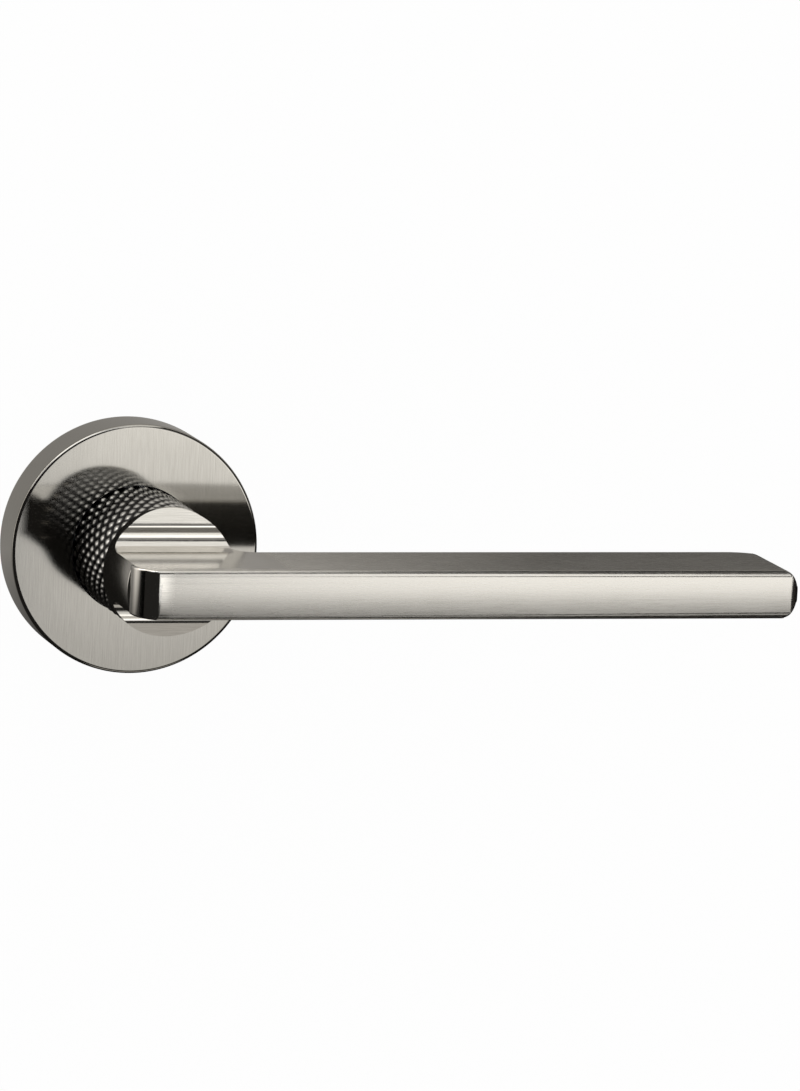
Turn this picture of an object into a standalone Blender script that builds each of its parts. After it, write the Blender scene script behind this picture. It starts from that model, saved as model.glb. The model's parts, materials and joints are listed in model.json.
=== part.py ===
"""Door lever handle on a round rose.

The lever is one casting: a flat bar on a round neck, with a knurled sleeve round the neck. It turns in a
sprung base plate that is bolted to the door, under a plain round cover that slides off along the neck.

Frame: metres, +Z up, +X along the lever towards its tip, +Y into the door. The door's face is the plane
y = 0 and the spindle's axis is the Y axis, so a place is given as a radius and a depth in front of the door.
"""
import math

import bmesh
import bpy
from mathutils import Matrix, Vector

MM = 0.001

# Clearances
GAP = 0.3 * MM              # between two pieces that rest on each other
COVER_GAP = 0.35 * MM       # round the neck, where the cover slides
RUNNING_GAP = 0.3 * MM      # between the journal and what it turns in

# Round cover, which everything inside fits under
COVER_RADIUS = 26.0 * MM
COVER_DEPTH = 11.0 * MM
COVER_WALL = 1.2 * MM
COVER_BEVEL = 0.7 * MM

# Neck and head of the lever
NECK_RADIUS = 13.2 * MM
SLEEVE_WALL = 2.0 * MM
SLEEVE_FRONT = 36.3 * MM    # depth at which the sleeve ends and the smooth head starts
HEAD_FRONT = 57.0 * MM      # depth at which the round head ends against the bar
SHOULDER_LEAN = 1.9 * MM    # how far the shoulder leans forward between its rim and its hollow
SHOULDER_RIM = 37.7 * MM    # depth of the shoulder's rim
SHOULDER_HOLLOW_Z = 8.6 * MM
SHOULDER_FILLET = 3.3 * MM

# Bar
BAR_FRONT = 65.1 * MM
BAR_BACK = 42.6 * MM
BAR_HEIGHT = 10.0 * MM
BAR_TIP = 125.7 * MM
BAR_LEDGE = 0.6 * MM        # how far the round head stands out past the bar's heel
HEEL_ROUND = 3.7 * MM
TIP_ROUND = 3.4 * MM        # corners of the tip, seen from the front
TIP_BACK_ROUND = 4.8 * MM   # back corner of the tip, seen from above
WEB_ROUND = 4.0 * MM        # hollow corner between the neck and the back of the bar

# Journal, behind the neck
JOURNAL_RADIUS = 9.0 * MM
JOURNAL_TAIL = 2.0 * MM     # how far its end stands behind the door's face
GROOVE_DEPTH = 1.0 * MM
CIRCLIP_THICK = 1.2 * MM
CIRCLIP_WIDTH = 2.5 * MM
CIRCLIP_OPENING = math.radians(50)
THRUST_WASHER_THICK = 0.8 * MM
THRUST_WASHER_WIDTH = 2.7 * MM

# Spindle and the screw that holds the lever on it
SPINDLE_SIDE = 8.0 * MM
SPINDLE_LENGTH = 94.7 * MM
SPINDLE_CHAMFER = 0.6 * MM
SOCKET_FRONT = 35.0 * MM    # depth of the blind end of the square socket
GRUB_RADIUS = 3.0 * MM
GRUB_LENGTH = 7.0 * MM
GRUB_DEPTH = 18.0 * MM
GRUB_HEX = 1.7 * MM         # across corners, from the centre
GRUB_HEX_DEEP = 3.0 * MM

# Base plate
PLATE_GAP = 0.4 * MM        # between its rim and the cover's skirt
PLATE_THICK = 2.6 * MM
HUB_WALL = 1.4 * MM
HUB_RECESS_DEEP = 2.0 * MM
BUSH_WALL = 2.0 * MM
BUSH_FLANGE_THICK = 1.0 * MM
BUSH_FLANGE_WIDTH = 1.4 * MM
LUG_RADIUS = 3.8 * MM
LUG_LENGTH = 6.0 * MM

# Fasteners
BOLT_COIL_GAP = 0.65 * MM   # between a bolt's head and the spring, which sets the bolts 38 mm apart
BOLT_RADIUS = 2.0 * MM
BOLT_LENGTH = 49.0 * MM
BOLT_HEAD_RADIUS = 3.6 * MM
BOLT_HEAD_THICK = 2.2 * MM
SCREW_COIL_GAP = 1.05 * MM  # between a wood screw's head and the spring
WOOD_SCREW_RADIUS = 1.7 * MM
WOOD_SCREW_LENGTH = 17.0 * MM
WOOD_SCREW_POINT = 4.0 * MM
WOOD_SCREW_HEAD_RADIUS = 3.2 * MM
WOOD_SCREW_HEAD_THICK = 1.6 * MM
DRIVE_WIDTH = 1.0 * MM      # cross recess in the heads
DRIVE_DEEP = 1.0 * MM

# Spring, what turns it and what stops it
LEVER_TURN = math.radians(50)
DRIVER_WALL = 3.5 * MM
DRIVER_THICK = 2.4 * MM
DRIVER_LUG_WIDTH = 5.0 * MM
DRIVER_LUG_THICK = 0.9 * MM
STOP_PIN_RADIUS = 1.2 * MM
STOP_COIL_GAP = 0.35 * MM   # between a stop pin and the spring
SPRING_WIRE = 1.3 * MM
SPRING_GAP = 0.45 * MM      # between the coil and the hub
SPRING_TURNS = 1            # whole turns before the moving leg comes round
SPRING_LEG_END = 0.1 * MM   # how far a leg stands out past the lug

# Plate over the spring, on four shouldered rivets
CAP_THICK = 0.8 * MM
CAP_EDGE = 0.85 * MM        # how far the cap reaches past the spring
CAP_HOLE_GAP = 0.5 * MM
RIVET_LUG_GAP = 0.5 * MM    # between a rivet's shoulder and the lug's path
RIVET_COUNT = 4
RIVET_SHOULDER = 2.2 * MM
RIVET_SHANK = 1.4 * MM
RIVET_NECK = 1.1 * MM
RIVET_HEAD = 2.0 * MM
RIVET_HEAD_THICK = 0.5 * MM
EAR_EDGE = 1.2 * MM         # of the ear round the rivet's head
COVER_INSIDE_GAP = 0.4 * MM # between the rivets' heads and the inside of the cover

# Leaf clips that hold the cover
CLIP_COUNT = 4
CLIP_THICK = 0.5 * MM
CLIP_WIDTH = 5.0 * MM
CLIP_HEIGHT = 3.1 * MM
NOTCH_WIDTH = 6.4 * MM
NOTCH_DEEP = 2.8 * MM

# Fineness of the round shapes
FINE = 64
MEDIUM = 40
COARSE = 20
HOLE_STEPS = 16

# Sizes that follow from those above
SLEEVE_BORE = NECK_RADIUS - SLEEVE_WALL
CORE_RADIUS = SLEEVE_BORE - GAP
BUSH_BORE = JOURNAL_RADIUS + RUNNING_GAP
BUSH_RADIUS = BUSH_BORE + BUSH_WALL
HUB_BORE = BUSH_RADIUS + GAP
HUB_RADIUS = HUB_BORE + HUB_WALL
CAP_FRONT = COVER_DEPTH - COVER_WALL - COVER_INSIDE_GAP - RIVET_HEAD_THICK - GAP
CAP_BACK = CAP_FRONT - CAP_THICK
DRIVER_BACK = CAP_BACK - GAP - DRIVER_LUG_THICK
BUSH_FLANGE_FRONT = DRIVER_BACK - GAP
BUSH_FLANGE_BACK = BUSH_FLANGE_FRONT - BUSH_FLANGE_THICK
HUB_FRONT = BUSH_FLANGE_BACK - GAP
DRIVER_FRONT = DRIVER_BACK + DRIVER_THICK
DRIVER_RADIUS = BUSH_BORE + DRIVER_WALL
CORE_BACK = DRIVER_FRONT + GAP
SLEEVE_BACK = CORE_BACK + GAP
PLATE_RADIUS = COVER_RADIUS - COVER_WALL - PLATE_GAP
THRUST_WASHER_BACK = CIRCLIP_THICK / 2 + GAP
COIL_RADIUS = HUB_RADIUS + SPRING_GAP + SPRING_WIRE / 2
COIL_OUTSIDE = COIL_RADIUS + SPRING_WIRE / 2
BOLT_X = COIL_OUTSIDE + BOLT_COIL_GAP + BOLT_HEAD_RADIUS
WOOD_SCREW_Z = COIL_OUTSIDE + SCREW_COIL_GAP + WOOD_SCREW_HEAD_RADIUS
STOP_CIRCLE = COIL_OUTSIDE + STOP_COIL_GAP + STOP_PIN_RADIUS
DRIVER_LUG_REACH = STOP_CIRCLE + STOP_PIN_RADIUS
SPRING_LEG_REACH = DRIVER_LUG_REACH + SPRING_LEG_END
RIVET_CIRCLE = DRIVER_LUG_REACH + RIVET_LUG_GAP + RIVET_SHOULDER
CAP_RADIUS = COIL_OUTSIDE + CAP_EDGE
EAR_RADIUS = RIVET_HEAD + EAR_EDGE
BAR_HEEL = NECK_RADIUS - BAR_LEDGE
LUG_HALF_ANGLE = DRIVER_LUG_WIDTH / 2 / STOP_CIRCLE
STOP_CLEAR_ANGLE = LUG_HALF_ANGLE + (STOP_PIN_RADIUS + GAP) / STOP_CIRCLE
FIXED_LEG_ANGLE = STOP_CLEAR_ANGLE + (STOP_PIN_RADIUS + SPRING_WIRE / 2 + GAP) / STOP_CIRCLE
MOVING_LEG_ANGLE = (DRIVER_LUG_WIDTH / 2 + SPRING_WIRE / 2 + GAP) / (COIL_RADIUS - SPRING_WIRE / 2)
SHOULDER_HOLLOW = SHOULDER_RIM + SHOULDER_LEAN


def clear_scene():
    for thing in list(bpy.data.objects):
        bpy.data.objects.remove(thing, do_unlink=True)


def finish(name, colour, metallic, roughness):
    """One Principled material for one piece."""
    material = bpy.data.materials.new(name)
    material.use_nodes = True
    shader = material.node_tree.nodes["Principled BSDF"]
    shader.inputs["Base Color"].default_value = (*colour, 1.0)
    shader.inputs["Metallic"].default_value = metallic
    shader.inputs["Roughness"].default_value = roughness
    return material


NICKEL = ((0.62, 0.60, 0.56), 1.0, 0.3)
DARK_NICKEL = ((0.20, 0.20, 0.20), 1.0, 0.3)
STEEL = ((0.55, 0.56, 0.58), 1.0, 0.35)
ZINC = ((0.50, 0.51, 0.52), 1.0, 0.5)
SPRING_STEEL = ((0.33, 0.33, 0.35), 1.0, 0.35)
NYLON = ((0.85, 0.84, 0.80), 0.0, 0.5)


def on_circle(radius, angle, depth=0.0):
    """A point on a circle round the spindle: the angle runs from the top (+Z) towards the tip (+X)."""
    return Vector((radius * math.sin(angle), -depth, radius * math.cos(angle)))


def arc(centre, radius, start, end, steps=6):
    """Points of an arc in a flat outline, both ends included, angles in degrees."""
    points = []
    for i in range(steps + 1):
        angle = math.radians(start + (end - start) * i / steps)
        points.append((centre[0] + radius * math.cos(angle), centre[1] + radius * math.sin(angle)))
    return points


def as_object(name, bm, look=None, parent=None, smooth=True):
    """Puts a bmesh in the scene as a named object with its own material."""
    bmesh.ops.remove_doubles(bm, verts=bm.verts, dist=1e-6)
    bmesh.ops.recalc_face_normals(bm, faces=bm.faces)
    mesh = bpy.data.meshes.new(name)
    bm.to_mesh(mesh)
    bm.free()
    if smooth:
        mesh.shade_smooth()
        mesh.set_sharp_from_angle(angle=math.radians(35))
    thing = bpy.data.objects.new(name, mesh)
    bpy.context.scene.collection.objects.link(thing)
    if look:
        mesh.materials.append(finish(name, *look))
    if parent:
        thing.parent = parent
    return thing


def turned(name, profile, look=None, parent=None, steps=MEDIUM, centre=(0.0, 0.0), closed=True):
    """A solid turned round an axis along Y from (radius, depth) points.

    A closed profile makes a ring. An open one starts and ends on the axis and makes a solid bar.
    """
    bm = bmesh.new()
    verts = [bm.verts.new((radius, -depth, 0.0)) for radius, depth in profile]
    edges = [bm.edges.new(pair) for pair in zip(verts, verts[1:])]
    if closed:
        edges.append(bm.edges.new((verts[-1], verts[0])))
    bmesh.ops.spin(bm, geom=verts + edges, cent=(0, 0, 0), axis=(0, 1, 0), angle=2 * math.pi, steps=steps)
    bmesh.ops.translate(bm, verts=bm.verts, vec=(centre[0], 0.0, centre[1]))
    return as_object(name, bm, look, parent)


def extruded(name, outline, low, high, place, look=None, parent=None):
    """A flat outline pushed from low to high along the third direction; place(u, v, w) gives the point."""
    bm = bmesh.new()
    face = bm.faces.new([bm.verts.new(place(u, v, low)) for u, v in outline])
    grown = bmesh.ops.extrude_face_region(bm, geom=[face])
    moved = [item for item in grown["geom"] if isinstance(item, bmesh.types.BMVert)]
    push = Vector(place(0.0, 0.0, high)) - Vector(place(0.0, 0.0, low))
    bmesh.ops.translate(bm, verts=moved, vec=push)
    return as_object(name, bm, look, parent)


def seen_from_above(x, depth, z):
    return (x, -depth, z)


def seen_from_front(x, z, depth):
    return (x, -depth, z)


def seen_from_tip(depth, z, x):
    return (x, -depth, z)


def block(name, low, high, look=None, parent=None):
    """A box between two corners."""
    bm = bmesh.new()
    bmesh.ops.create_cube(bm, size=1.0)
    low, high = Vector(low), Vector(high)
    bmesh.ops.transform(bm, verts=bm.verts, matrix=Matrix.Diagonal((*(high - low), 1.0)))
    bmesh.ops.translate(bm, verts=bm.verts, vec=(low + high) / 2)
    return as_object(name, bm, look, parent, smooth=False)


def rod(name, radius, back, front, centre=(0.0, 0.0), steps=COARSE, **kind):
    """A plain round bar along Y, between two depths."""
    profile = [(0.0, back), (radius, back), (radius, front), (0.0, front)]
    return turned(name, profile, steps=steps, centre=centre, closed=False, **kind)


def combine(target, tool, operation):
    """Cuts a tool out of a piece, or adds it; the tool stays in the scene as a hidden guide."""
    modifier = target.modifiers.new(tool.name, "BOOLEAN")
    modifier.operation = operation
    modifier.solver = "MANIFOLD"  # the exact solver loses faces where a hole and a lug share an axis
    modifier.object = tool
    tool.hide_render = True
    tool.display_type = "WIRE"


def cut(target, tool):
    combine(target, tool, "DIFFERENCE")


def add(target, tool):
    combine(target, tool, "UNION")


def empty(name):
    marker = bpy.data.objects.new(name, None)
    marker.empty_display_size = 10 * MM
    bpy.context.scene.collection.objects.link(marker)
    return marker


def ring(name, inner, outer, back, front, look=None, parent=None, steps=MEDIUM):
    profile = [(inner, back), (outer, back), (outer, front), (inner, front)]
    return turned(name, profile, look, parent, steps)


# ---------------------------------------------------------------- the lever and what turns with it

def shoulder_cutter(side):
    """Everything above the bar and in front of the shoulder: a leaning face, a fillet, then the bar's flat."""
    flat = BAR_HEIGHT / 2
    beyond = NECK_RADIUS + 8 * MM
    lean = SHOULDER_LEAN / (NECK_RADIUS - SHOULDER_HOLLOW_Z)
    start = (SHOULDER_RIM - lean * (beyond - NECK_RADIUS), beyond)
    fillet_centre = (SHOULDER_HOLLOW + SHOULDER_FILLET, flat + SHOULDER_FILLET)
    outline = [start, (SHOULDER_HOLLOW, SHOULDER_HOLLOW_Z)]
    outline += arc(fillet_centre, SHOULDER_FILLET, 180, 270, 8)
    outline += [(BAR_FRONT + 5 * MM, flat), (BAR_FRONT + 5 * MM, beyond)]
    outline = [(depth, side * z) for depth, z in outline]
    name = "guide_shoulder_top" if side > 0 else "guide_shoulder_bottom"
    return extruded(name, outline, -NECK_RADIUS - 5 * MM, BAR_TIP + 5 * MM, seen_from_tip)


def bar_blank():
    """The bar from above, a little too high: heel, long front, tip, back and the web to the neck."""
    height = BAR_HEIGHT / 2 + 1 * MM
    inside = BAR_HEEL - 0.8 * MM
    outline = [(-inside, HEAD_FRONT - 2 * MM), (-BAR_HEEL, HEAD_FRONT + GAP)]
    outline += arc((-BAR_HEEL + HEEL_ROUND, BAR_FRONT - HEEL_ROUND), HEEL_ROUND, 180, 90, 8)
    outline += [(BAR_TIP, BAR_FRONT)]
    outline += arc((BAR_TIP - TIP_BACK_ROUND, BAR_BACK + TIP_BACK_ROUND), TIP_BACK_ROUND, 0, -90, 8)
    outline += arc((NECK_RADIUS + WEB_ROUND, BAR_BACK - WEB_ROUND), WEB_ROUND, 90, 180, 6)
    outline += [(0.0, BAR_BACK - WEB_ROUND), (0.0, HEAD_FRONT - 2 * MM)]
    return extruded("guide_bar", outline, -height, height, seen_from_above)


def tip_cutter(side):
    """What lies outside one rounded corner of the tip, seen from the front."""
    half = BAR_HEIGHT / 2
    centre = (BAR_TIP - TIP_ROUND, half - TIP_ROUND)
    outline = arc(centre, TIP_ROUND, 90, 0, 8)
    outline = [(centre[0], half + 3 * MM)] + outline
    outline += [(BAR_TIP + 3 * MM, centre[1]), (BAR_TIP + 3 * MM, half + 3 * MM)]
    outline = [(x, side * z) for x, z in outline]
    name = "guide_tip_top" if side > 0 else "guide_tip_bottom"
    return extruded(name, outline, BAR_BACK - 3 * MM, BAR_FRONT + 3 * MM, seen_from_front)


def make_lever(axis):
    """Tail, journal with its circlip groove, core under the sleeve, round head, and the bar."""
    groove = CIRCLIP_THICK / 2 + GAP
    profile = [
        (0.0, -JOURNAL_TAIL),
        (JOURNAL_RADIUS, -JOURNAL_TAIL),
        (JOURNAL_RADIUS, -groove),
        (JOURNAL_RADIUS - GROOVE_DEPTH, -groove),
        (JOURNAL_RADIUS - GROOVE_DEPTH, groove),
        (JOURNAL_RADIUS, groove),
        (JOURNAL_RADIUS, CORE_BACK),
        (CORE_RADIUS, CORE_BACK),
        (CORE_RADIUS, SLEEVE_FRONT + GAP),
        (NECK_RADIUS, SLEEVE_FRONT + GAP),
        (NECK_RADIUS, HEAD_FRONT),
        (0.0, HEAD_FRONT),
    ]
    lever = turned("lever_handle", profile, NICKEL, axis, FINE, closed=False)
    add(lever, bar_blank())
    for side in (1, -1):
        cut(lever, shoulder_cutter(side))
        cut(lever, tip_cutter(side))
    half = SPINDLE_SIDE / 2 + GAP
    cut(lever, block("guide_socket", (-half, -SOCKET_FRONT, -half), (half, JOURNAL_TAIL + 2 * MM, half)))
    cut(lever, grub_hole("guide_grub_hole", 0.0))
    return lever


def grub_hole(name, start):
    """The screw's hole, straight down from the spindle's axis."""
    outline = arc((0.0, GRUB_DEPTH), GRUB_RADIUS + GAP, 0, 345, 23)
    return extruded(name, outline, start, -NECK_RADIUS - 3 * MM, seen_from_above)


def make_sleeve(axis):
    """Tube over the core, with a hole at the bottom that lets a key through to the screw."""
    sleeve = ring("knurled_sleeve", SLEEVE_BORE, NECK_RADIUS, SLEEVE_BACK, SLEEVE_FRONT,
                  DARK_NICKEL, axis, FINE)
    cut(sleeve, grub_hole("guide_key_hole", -CORE_RADIUS + 3 * MM))


def make_grub_screw(axis):
    """Headless screw under the neck that bears on the spindle, with a six-sided key socket."""
    top = -SPINDLE_SIDE / 2 - GAP
    bottom = top - GRUB_LENGTH
    outline = arc((0.0, GRUB_DEPTH), GRUB_RADIUS, 0, 345, 23)
    screw = extruded("grub_screw", outline, top, bottom, seen_from_above, SPRING_STEEL, axis)
    socket = arc((0.0, GRUB_DEPTH), GRUB_HEX, 0, 300, 5)
    cut(screw, extruded("guide_hex", socket, bottom + GRUB_HEX_DEEP, bottom - 2 * MM, seen_from_above))


def make_spindle(axis):
    """Square bar through the door, with its long edges chamfered."""
    half = SPINDLE_SIDE / 2
    front = SOCKET_FRONT - GAP
    spindle = block("square_spindle", (-half, -front, -half), (half, SPINDLE_LENGTH - front, half), ZINC, axis)
    chamfer = spindle.modifiers.new("chamfer", "BEVEL")
    chamfer.width = SPINDLE_CHAMFER
    chamfer.segments = 1


def make_circlip(axis):
    """Open ring in the journal's groove, behind the plate, with its opening at the bottom."""
    inner = JOURNAL_RADIUS - GROOVE_DEPTH + GAP
    outer = inner + CIRCLIP_WIDTH
    start = -90 + math.degrees(CIRCLIP_OPENING) / 2
    end = 270 - math.degrees(CIRCLIP_OPENING) / 2
    outline = arc((0.0, 0.0), outer, start, end, 36) + arc((0.0, 0.0), inner, end, start, 36)
    extruded("circlip", outline, -CIRCLIP_THICK / 2, CIRCLIP_THICK / 2, seen_from_front, SPRING_STEEL, axis)


def make_thrust_washer(axis):
    """Flat washer between the circlip and the bush."""
    ring("thrust_washer", BUSH_BORE, BUSH_BORE + THRUST_WASHER_WIDTH, THRUST_WASHER_BACK,
         THRUST_WASHER_BACK + THRUST_WASHER_THICK, STEEL, axis)


def make_driver(axis):
    """Ring on the journal with one lug at the top, which winds the spring and meets the stops."""
    driver = ring("spring_driver", BUSH_BORE, DRIVER_RADIUS, DRIVER_BACK, DRIVER_FRONT, STEEL, axis)
    half = DRIVER_LUG_WIDTH / 2
    root = DRIVER_RADIUS - DRIVER_WALL / 2
    low = (-half, -DRIVER_BACK - DRIVER_LUG_THICK, root)
    high = (half, -DRIVER_BACK, DRIVER_LUG_REACH)
    add(driver, block("guide_lug", low, high))


# ---------------------------------------------------------------- what stays on the door

def bolt_centres():
    return {"left": (-BOLT_X, 0.0), "right": (BOLT_X, 0.0)}


def wood_screw_centres():
    return {"top": (0.0, WOOD_SCREW_Z), "bottom": (0.0, -WOOD_SCREW_Z)}


def rivet_angle(i):
    return 2 * math.pi * (i + 0.5) / RIVET_COUNT


def stop_angles():
    """The lug rests beside the first pin and meets the second at the end of the lever's turn."""
    return {"rest": -STOP_CLEAR_ANGLE, "end": LEVER_TURN + STOP_CLEAR_ANGLE}


def clip_angle(i):
    """Midway between a screw or bolt and a rivet."""
    return 2 * math.pi * (i + 0.25) / CLIP_COUNT


def flat_place(radius, angle):
    """The X and Z of a place on a circle round the spindle."""
    point = on_circle(radius, angle)
    return (point.x, point.z)


def hole(target, name, radius, centre):
    """A round hole through the plate and anything behind it."""
    cut(target, rod(name, radius, -LUG_LENGTH - 2 * MM, HUB_FRONT + 2 * MM, centre, HOLE_STEPS))


def make_base_plate():
    """Round plate with a hub for the bush, two lugs that enter the door, and its holes and notches."""
    recess = BUSH_BORE + THRUST_WASHER_WIDTH + GAP
    profile = [
        (recess, 0.0),
        (PLATE_RADIUS, 0.0),
        (PLATE_RADIUS, PLATE_THICK),
        (HUB_RADIUS, PLATE_THICK),
        (HUB_RADIUS, HUB_FRONT),
        (HUB_BORE, HUB_FRONT),
        (HUB_BORE, HUB_RECESS_DEEP),
        (recess, HUB_RECESS_DEEP),
    ]
    plate = turned("base_plate", profile, ZINC, None, FINE)
    for side, centre in bolt_centres().items():
        add(plate, rod(f"guide_door_lug_{side}", LUG_RADIUS, -LUG_LENGTH, PLATE_THICK / 2, centre))
        hole(plate, f"guide_bolt_hole_{side}", BOLT_RADIUS + GAP, centre)
    for side, centre in wood_screw_centres().items():
        hole(plate, f"guide_wood_screw_hole_{side}", WOOD_SCREW_RADIUS + GAP, centre)
    for side, angle in stop_angles().items():
        hole(plate, f"guide_stop_hole_{side}", STOP_PIN_RADIUS + GAP, flat_place(STOP_CIRCLE, angle))
    for i in range(RIVET_COUNT):
        hole(plate, f"guide_rivet_hole_{i + 1}", RIVET_SHANK + GAP, flat_place(RIVET_CIRCLE, rivet_angle(i)))
    for i in range(CLIP_COUNT):
        half = NOTCH_WIDTH / 2
        notch = block(f"guide_notch_{i + 1}", (-half, -PLATE_THICK - 1 * MM, PLATE_RADIUS - NOTCH_DEEP),
                      (half, 1 * MM, PLATE_RADIUS + 2 * MM))
        notch.rotation_euler.y = clip_angle(i)
        cut(plate, notch)


def make_bush():
    """Flanged nylon bush in the hub, in which the journal turns."""
    back = THRUST_WASHER_BACK + THRUST_WASHER_THICK + GAP
    profile = [
        (BUSH_BORE, back),
        (BUSH_RADIUS, back),
        (BUSH_RADIUS, BUSH_FLANGE_BACK),
        (BUSH_RADIUS + BUSH_FLANGE_WIDTH, BUSH_FLANGE_BACK),
        (BUSH_RADIUS + BUSH_FLANGE_WIDTH, BUSH_FLANGE_FRONT),
        (BUSH_BORE, BUSH_FLANGE_FRONT),
    ]
    turned("bearing_bush", profile, NYLON)


def make_stop_pins():
    """Two pins through the plate, one on each side of the lug's travel."""
    for side, angle in stop_angles().items():
        rod(f"stop_pin_{side}", STOP_PIN_RADIUS, GAP, CAP_BACK - GAP, flat_place(STOP_CIRCLE, angle), look=STEEL)


def make_spring():
    """Torsion spring round the hub: one leg beside the rest pin, the other on the far side of the lug."""
    low = PLATE_THICK + GAP + SPRING_WIRE / 2
    high = DRIVER_BACK + DRIVER_LUG_THICK / 2
    start = -FIXED_LEG_ANGLE
    end = MOVING_LEG_ANGLE - 2 * math.pi * (SPRING_TURNS + 1)
    steps = 44
    points = [on_circle(SPRING_LEG_REACH, start, low)]
    for i in range(steps + 1):
        share = i / steps
        points.append(on_circle(COIL_RADIUS, start + (end - start) * share, low + (high - low) * share))
    points.append(on_circle(SPRING_LEG_REACH, end, high))
    curve = bpy.data.curves.new("return_spring", "CURVE")
    curve.dimensions = "3D"
    curve.bevel_depth = SPRING_WIRE / 2
    curve.bevel_resolution = 1
    curve.use_fill_caps = True
    line = curve.splines.new("POLY")
    line.points.add(len(points) - 1)
    for point, place in zip(line.points, points):
        point.co = (*place, 1.0)
    curve.materials.append(finish("return_spring", *SPRING_STEEL))
    spring = bpy.data.objects.new("return_spring", curve)
    bpy.context.scene.collection.objects.link(spring)


def make_spring_cap():
    """Plate over the spring: a ring with one ear for each rivet, clear of the bolts and screws."""
    half = math.asin(EAR_RADIUS / CAP_RADIUS)
    root = CAP_RADIUS * math.cos(half)
    outline = []
    for i in range(RIVET_COUNT):
        angle = rivet_angle(i)
        tangent = (math.cos(angle), -math.sin(angle))
        centre = flat_place(RIVET_CIRCLE, angle)
        foot = flat_place(root, angle)
        outline.append((foot[0] - tangent[0] * EAR_RADIUS, foot[1] - tangent[1] * EAR_RADIUS))
        turn = 180 - math.degrees(angle)
        outline += arc(centre, EAR_RADIUS, turn, turn - 180, 10)
        outline.append((foot[0] + tangent[0] * EAR_RADIUS, foot[1] + tangent[1] * EAR_RADIUS))
        step = (2 * math.pi / RIVET_COUNT - 2 * half) / 8
        for k in range(1, 8):
            outline.append(flat_place(CAP_RADIUS, angle + half + step * k))
    cap = extruded("spring_cap", outline, CAP_BACK, CAP_FRONT, seen_from_front, STEEL)
    cut(cap, rod("guide_cap_hole", DRIVER_RADIUS + CAP_HOLE_GAP, CAP_BACK - 1 * MM, CAP_FRONT + 1 * MM,
                 steps=MEDIUM))
    for i in range(RIVET_COUNT):
        centre = flat_place(RIVET_CIRCLE, rivet_angle(i))
        cut(cap, rod(f"guide_ear_hole_{i + 1}", RIVET_NECK + GAP, CAP_BACK - 1 * MM, CAP_FRONT + 1 * MM,
                     centre, HOLE_STEPS))


def make_rivets():
    """Shouldered rivets that space the cap from the plate and hold it there."""
    for i in range(RIVET_COUNT):
        profile = [
            (0.0, GAP),
            (RIVET_SHANK, GAP),
            (RIVET_SHANK, PLATE_THICK + GAP),
            (RIVET_SHOULDER, PLATE_THICK + GAP),
            (RIVET_SHOULDER, CAP_BACK - GAP),
            (RIVET_NECK, CAP_BACK - GAP),
            (RIVET_NECK, CAP_FRONT + GAP),
            (RIVET_HEAD, CAP_FRONT + GAP),
            (RIVET_HEAD, CAP_FRONT + GAP + RIVET_HEAD_THICK),
            (0.0, CAP_FRONT + GAP + RIVET_HEAD_THICK),
        ]
        turned(f"cap_rivet_{i + 1}", profile, STEEL, None, 16, flat_place(RIVET_CIRCLE, rivet_angle(i)), False)


def make_clips():
    """Bent leaves in the plate's notches, whose outward knee grips the inside of the cover."""
    root = PLATE_RADIUS - NOTCH_DEEP + GAP
    knee = COVER_RADIUS - COVER_WALL - 1.6 * GAP
    outline = [
        (GAP, root),
        (CLIP_HEIGHT, root),
        (CLIP_HEIGHT, root + 1.3 * MM),
        (CLIP_HEIGHT * 0.6, knee),
        (GAP, root + 1.6 * MM),
        (GAP, root + 1.6 * MM - CLIP_THICK),
        (CLIP_HEIGHT * 0.6, knee - CLIP_THICK),
        (CLIP_HEIGHT - CLIP_THICK, root + 1.3 * MM - CLIP_THICK / 2),
        (CLIP_HEIGHT - CLIP_THICK, root + CLIP_THICK),
        (GAP, root + CLIP_THICK),
    ]
    for i in range(CLIP_COUNT):
        clip = extruded(f"cover_clip_{i + 1}", outline, -CLIP_WIDTH / 2, CLIP_WIDTH / 2, seen_from_tip,
                        SPRING_STEEL)
        clip.rotation_euler.y = clip_angle(i)


def cross_recess(target, head_front, centre, reach):
    """Two crossed slots in a screw's head."""
    x, z = centre
    half = DRIVE_WIDTH / 2
    back, front = -head_front + DRIVE_DEEP, -head_front - 1 * MM
    cut(target, block(f"guide_{target.name}_slot_a", (x - half, front, z - reach), (x + half, back, z + reach)))
    cut(target, block(f"guide_{target.name}_slot_b", (x - reach, front, z - half), (x + reach, back, z + half)))


def make_bolts():
    """Machine screws through the plate's lugs, which reach the handle on the door's other side."""
    head_back = PLATE_THICK + GAP
    head_front = head_back + BOLT_HEAD_THICK
    for side, centre in bolt_centres().items():
        profile = [
            (0.0, head_back - BOLT_LENGTH),
            (BOLT_RADIUS, head_back - BOLT_LENGTH),
            (BOLT_RADIUS, head_back),
            (BOLT_HEAD_RADIUS, head_back),
            (BOLT_HEAD_RADIUS, head_front - BOLT_HEAD_THICK / 3),
            (BOLT_HEAD_RADIUS * 0.8, head_front),
            (0.0, head_front),
        ]
        bolt = turned(f"through_bolt_{side}", profile, STEEL, None, COARSE, centre, False)
        cross_recess(bolt, head_front, centre, BOLT_HEAD_RADIUS * 0.55)


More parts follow.
